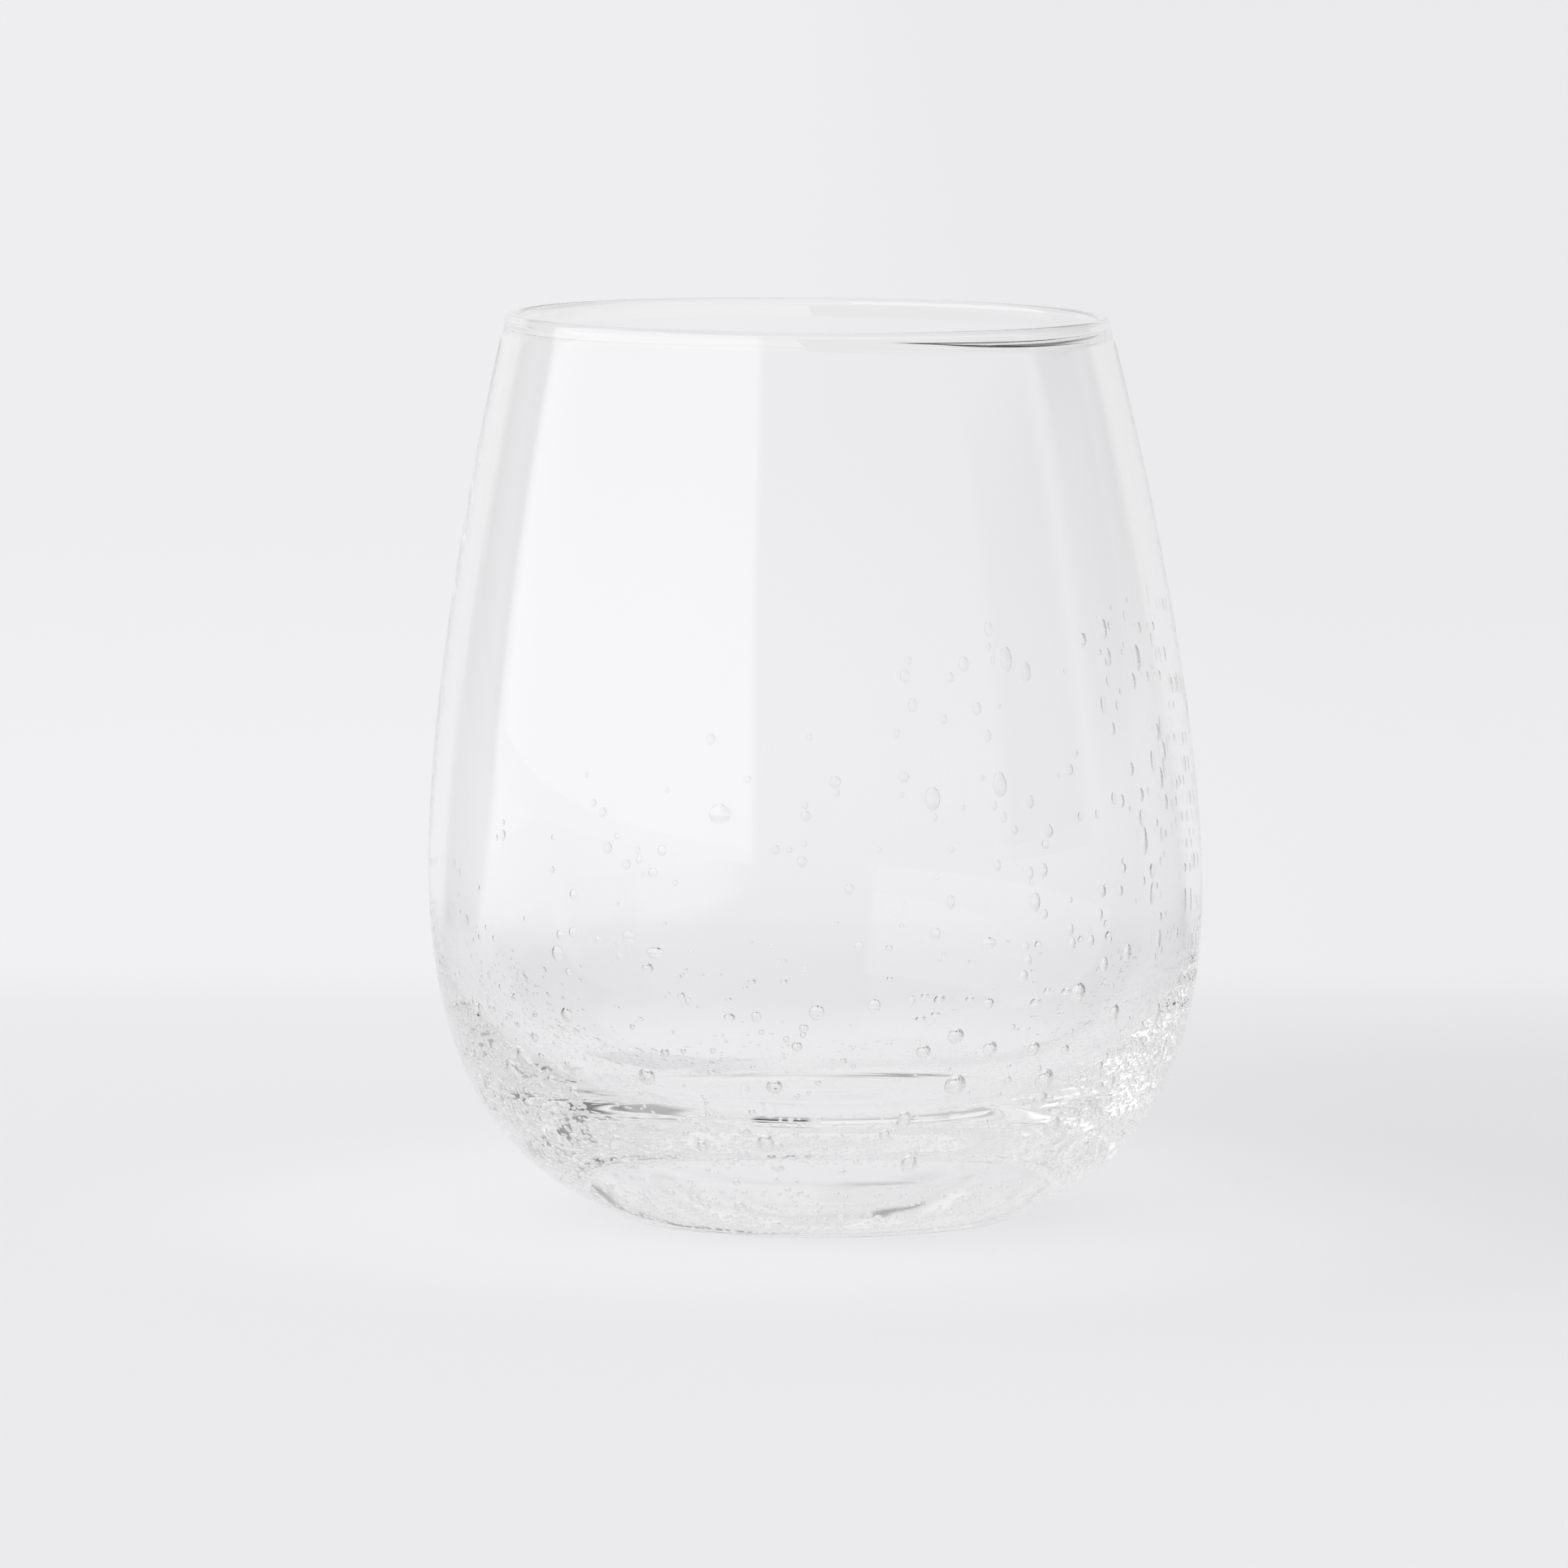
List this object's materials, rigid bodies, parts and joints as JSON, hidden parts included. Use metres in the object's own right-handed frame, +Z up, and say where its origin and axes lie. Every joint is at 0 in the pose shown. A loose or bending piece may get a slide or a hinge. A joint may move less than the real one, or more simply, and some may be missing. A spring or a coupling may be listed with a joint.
{
  "type": "stemless wine glass",
  "caption": "Stemless wine glass of clear blown glass, with a tapered thin-walled bowl, a fire-polished rim and a heavy rounded base full of seed bubbles.",
  "frame": {"origin": "centre of the foot, on the plane that the glass stands on", "axes": "+Z up along the glass's axis, towards the rim; +X to the right of the pictured view, +Y away from the viewer"},
  "size_m": [0.09, 0.09, 0.1045],
  "materials": {
    "clear_glass": "fire-polished, clear and colourless",
    "seeded_glass": "clear, full of small bubbles",
    "trapped_air": "air inside the glass, bright at its edges"
  },
  "bodies": {
    "root": {"bowl": "clear_glass", "seed_layer": "seeded_glass", "casing": "clear_glass", "fine_seeds": "trapped_air", "heel_bubbles": "trapped_air", "wall_bubbles": "trapped_air"}
  },
  "joints": []
}
